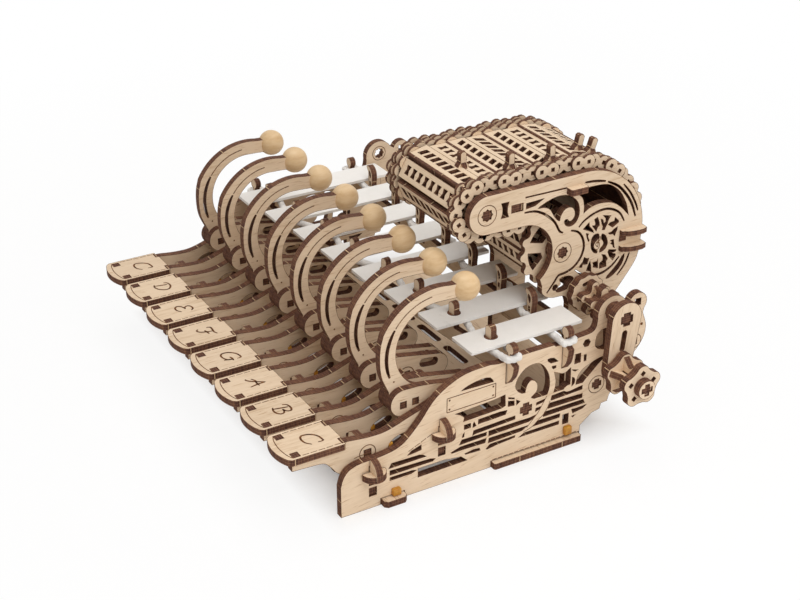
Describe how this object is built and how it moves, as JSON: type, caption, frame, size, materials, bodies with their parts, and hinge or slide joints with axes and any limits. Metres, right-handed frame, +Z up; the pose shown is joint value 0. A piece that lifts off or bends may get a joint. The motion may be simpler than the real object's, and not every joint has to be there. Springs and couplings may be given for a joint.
{
  "type": "mechanical celesta",
  "caption": "Tabletop celesta kit of laser-cut plywood: keys swing ball-tipped hammers onto tuned bars, beside a crank-driven programme belt cassette.",
  "frame": {"origin": "middle of the object's base, on the surface it stands on", "axes": "+X from the low note to the high note, +Y from the keys to the back, +Z up"},
  "size_m": [0.2565, 0.2033, 0.1334],
  "materials": {
    "birch": "matt laser-cut birch plywood with burnt edges",
    "birch_dark": "matt, rubbed with wax",
    "bead": "smooth turned wood, satin",
    "bar": "pale satin metal",
    "cord": "soft white cotton cord"
  },
  "bodies": {
    "frame": {"right_panel": "birch", "left_panel": "birch", "front_tie": "birch", "middle_tie": "birch", "key_axle": "birch_dark", "hammer_axle": "birch_dark", "front_base": "birch", "rear_base": "birch", "front_bar_rail": "birch", "rear_bar_rail": "birch", "front_bar_cord": "cord", "rear_bar_cord": "cord", "bar_c_low": "bar", "bar_d": "bar", "bar_e": "bar", "bar_f": "bar", "bar_g": "bar", "bar_a": "bar", "bar_b": "bar", "bar_c_high": "bar", "left_cassette_plate": "birch", "right_cassette_plate": "birch", "programme_belt": "birch"},
    "key_body_c_low": {"key_c_low": "birch", "pad_c_low": "birch"},
    "hammer_body_c_low": {"hammer_c_low": "birch", "ball_c_low": "bead"},
    "key_body_d": {"key_d": "birch", "pad_d": "birch"},
    "hammer_body_d": {"hammer_d": "birch", "ball_d": "bead"},
    "key_body_e": {"key_e": "birch", "pad_e": "birch"},
    "hammer_body_e": {"hammer_e": "birch", "ball_e": "bead"},
    "key_body_f": {"key_f": "birch", "pad_f": "birch"},
    "hammer_body_f": {"hammer_f": "birch", "ball_f": "bead"},
    "key_body_g": {"key_g": "birch", "pad_g": "birch"},
    "hammer_body_g": {"hammer_g": "birch", "ball_g": "bead"},
    "key_body_a": {"key_a": "birch", "pad_a": "birch"},
    "hammer_body_a": {"hammer_a": "birch", "ball_a": "bead"},
    "key_body_b": {"key_b": "birch", "pad_b": "birch"},
    "hammer_body_b": {"hammer_b": "birch", "ball_b": "bead"},
    "key_body_c_high": {"key_c_high": "birch", "pad_c_high": "birch"},
    "hammer_body_c_high": {"hammer_c_high": "birch", "ball_c_high": "bead"},
    "crank": {"crank_shaft": "birch", "crank_arm": "birch"},
    "handle": {"crank_handle": "birch"},
    "drum": {"belt_drum": "birch"},
    "roller": {"front_roller": "birch"}
  },
  "joints": [
    {"name": "key_press_c_low", "type": "hinge", "parent": "frame", "child": "key_body_c_low", "pos_m": [-0.1079, -0.0614, 0.0259], "axis": [1, 0, 0], "range_deg": [0, 10], "stiffness_Nm_per_rad": 0.03, "springref_deg": -5.73},
    {"name": "hammer_swing_c_low", "type": "hinge", "parent": "frame", "child": "hammer_body_c_low", "pos_m": [-0.1079, -0.0237, 0.0374], "axis": [1, 0, 0], "range_deg": [-39, 0]},
    {"name": "key_press_d", "type": "hinge", "parent": "frame", "child": "key_body_d", "pos_m": [-0.0809, -0.0614, 0.0259], "axis": [1, 0, 0], "range_deg": [0, 10], "stiffness_Nm_per_rad": 0.03, "springref_deg": -5.73},
    {"name": "hammer_swing_d", "type": "hinge", "parent": "frame", "child": "hammer_body_d", "pos_m": [-0.0809, -0.0237, 0.0374], "axis": [1, 0, 0], "range_deg": [-39, 0]},
    {"name": "key_press_e", "type": "hinge", "parent": "frame", "child": "key_body_e", "pos_m": [-0.0539, -0.0614, 0.0259], "axis": [1, 0, 0], "range_deg": [0, 10], "stiffness_Nm_per_rad": 0.03, "springref_deg": -5.73},
    {"name": "hammer_swing_e", "type": "hinge", "parent": "frame", "child": "hammer_body_e", "pos_m": [-0.0539, -0.0237, 0.0374], "axis": [1, 0, 0], "range_deg": [-39, 0]},
    {"name": "key_press_f", "type": "hinge", "parent": "frame", "child": "key_body_f", "pos_m": [-0.0269, -0.0614, 0.0259], "axis": [1, 0, 0], "range_deg": [0, 10], "stiffness_Nm_per_rad": 0.03, "springref_deg": -5.73},
    {"name": "hammer_swing_f", "type": "hinge", "parent": "frame", "child": "hammer_body_f", "pos_m": [-0.0269, -0.0237, 0.0374], "axis": [1, 0, 0], "range_deg": [-39, 0]},
    {"name": "key_press_g", "type": "hinge", "parent": "frame", "child": "key_body_g", "pos_m": [0.0001, -0.0614, 0.0259], "axis": [1, 0, 0], "range_deg": [0, 10], "stiffness_Nm_per_rad": 0.03, "springref_deg": -5.73},
    {"name": "hammer_swing_g", "type": "hinge", "parent": "frame", "child": "hammer_body_g", "pos_m": [0.0001, -0.0237, 0.0374], "axis": [1, 0, 0], "range_deg": [-39, 0]},
    {"name": "key_press_a", "type": "hinge", "parent": "frame", "child": "key_body_a", "pos_m": [0.0271, -0.0614, 0.0259], "axis": [1, 0, 0], "range_deg": [0, 10], "stiffness_Nm_per_rad": 0.03, "springref_deg": -5.73},
    {"name": "hammer_swing_a", "type": "hinge", "parent": "frame", "child": "hammer_body_a", "pos_m": [0.0271, -0.0237, 0.0374], "axis": [1, 0, 0], "range_deg": [-39, 0]},
    {"name": "key_press_b", "type": "hinge", "parent": "frame", "child": "key_body_b", "pos_m": [0.0541, -0.0614, 0.0259], "axis": [1, 0, 0], "range_deg": [0, 10], "stiffness_Nm_per_rad": 0.03, "springref_deg": -5.73},
    {"name": "hammer_swing_b", "type": "hinge", "parent": "frame", "child": "hammer_body_b", "pos_m": [0.0541, -0.0237, 0.0374], "axis": [1, 0, 0], "range_deg": [-39, 0]},
    {"name": "key_press_c_high", "type": "hinge", "parent": "frame", "child": "key_body_c_high", "pos_m": [0.0811, -0.0614, 0.0259], "axis": [1, 0, 0], "range_deg": [0, 10], "stiffness_Nm_per_rad": 0.03, "springref_deg": -5.73},
    {"name": "hammer_swing_c_high", "type": "hinge", "parent": "frame", "child": "hammer_body_c_high", "pos_m": [0.0811, -0.0237, 0.0374], "axis": [1, 0, 0], "range_deg": [-39, 0]},
    {"name": "crank_turn", "type": "hinge", "parent": "frame", "child": "crank", "pos_m": [0.0949, 0.0634, 0.0634], "axis": [1, 0, 0], "continuous": true},
    {"name": "handle_spin", "type": "hinge", "parent": "crank", "child": "handle", "pos_m": [0.116, 0.0607, 0.0382], "axis": [1, 0, 0], "continuous": true},
    {"name": "drum_turn", "type": "hinge", "parent": "frame", "child": "drum", "pos_m": [0.0366, 0.0526, 0.0841], "axis": [1, 0, 0], "continuous": true},
    {"name": "roller_turn", "type": "hinge", "parent": "frame", "child": "roller", "pos_m": [0.0366, 0.0109, 0.1122], "axis": [1, 0, 0], "continuous": true}
  ],
  "couplings": [
    {"joint": "hammer_swing_c_low", "follows": "key_press_c_low", "ratio": -3.9},
    {"joint": "hammer_swing_d", "follows": "key_press_d", "ratio": -3.9},
    {"joint": "hammer_swing_e", "follows": "key_press_e", "ratio": -3.9},
    {"joint": "hammer_swing_f", "follows": "key_press_f", "ratio": -3.9},
    {"joint": "hammer_swing_g", "follows": "key_press_g", "ratio": -3.9},
    {"joint": "hammer_swing_a", "follows": "key_press_a", "ratio": -3.9},
    {"joint": "hammer_swing_b", "follows": "key_press_b", "ratio": -3.9},
    {"joint": "hammer_swing_c_high", "follows": "key_press_c_high", "ratio": -3.9},
    {"joint": "drum_turn", "follows": "crank_turn", "ratio": -0.57143},
    {"joint": "roller_turn", "follows": "crank_turn", "ratio": -0.66667}
  ]
}
